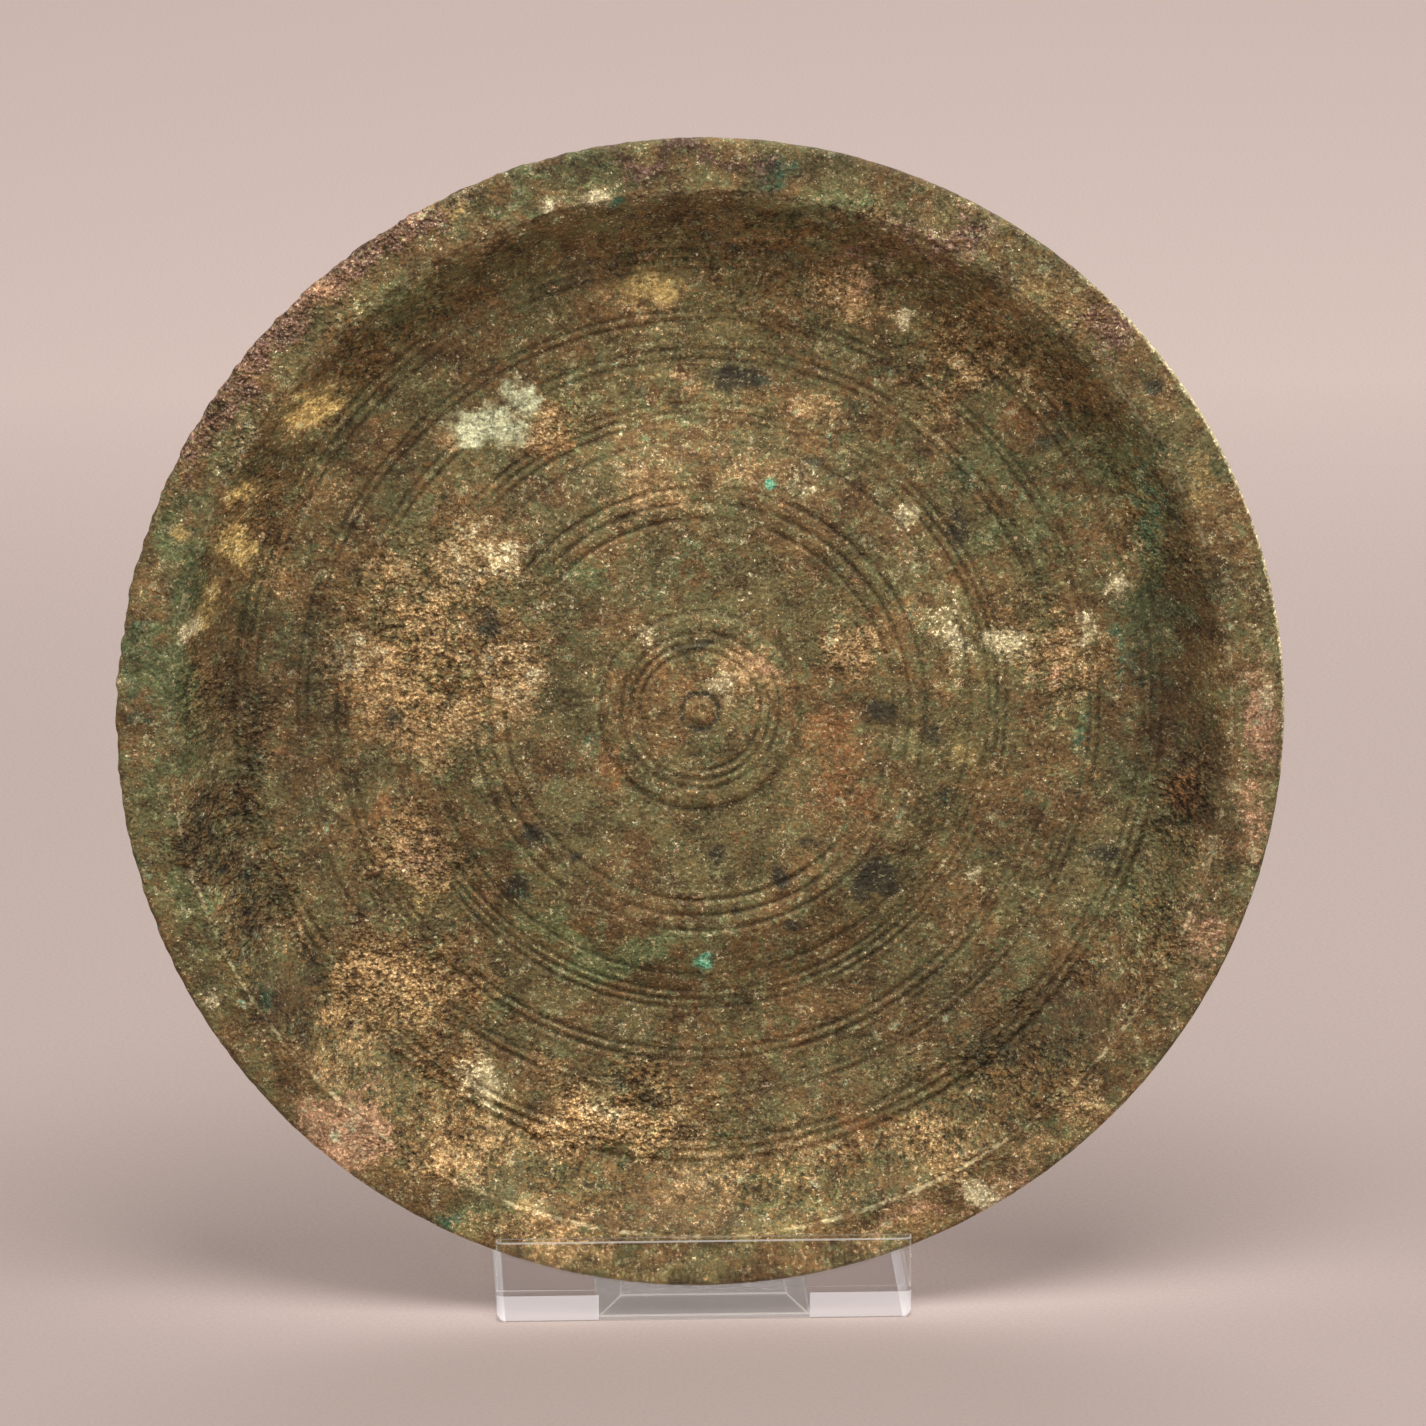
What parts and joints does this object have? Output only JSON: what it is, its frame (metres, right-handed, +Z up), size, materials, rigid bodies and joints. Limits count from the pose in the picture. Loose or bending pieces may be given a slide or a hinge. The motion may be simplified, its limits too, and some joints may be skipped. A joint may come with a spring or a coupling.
{
  "type": "bronze mirror",
  "caption": "Shallow dished bronze disc mirror with turned rings and a flat rim, upright in a clear acrylic display stand.",
  "frame": {"origin": "bottom centre of the whole, on the surface that the stand's feet rest on", "axes": "+Z up, the mirror's decorated side faces -Y and leans back 4 degrees, +X to the right of a viewer who faces it"},
  "size_m": [0.17, 0.0432, 0.1739],
  "materials": {
    "patinated_bronze": "matt green and brown patina with earthy crust",
    "clear_acrylic": "polished and clear"
  },
  "bodies": {
    "root": {"bronze_mirror": "patinated_bronze", "acrylic_stand": "clear_acrylic"}
  },
  "joints": []
}
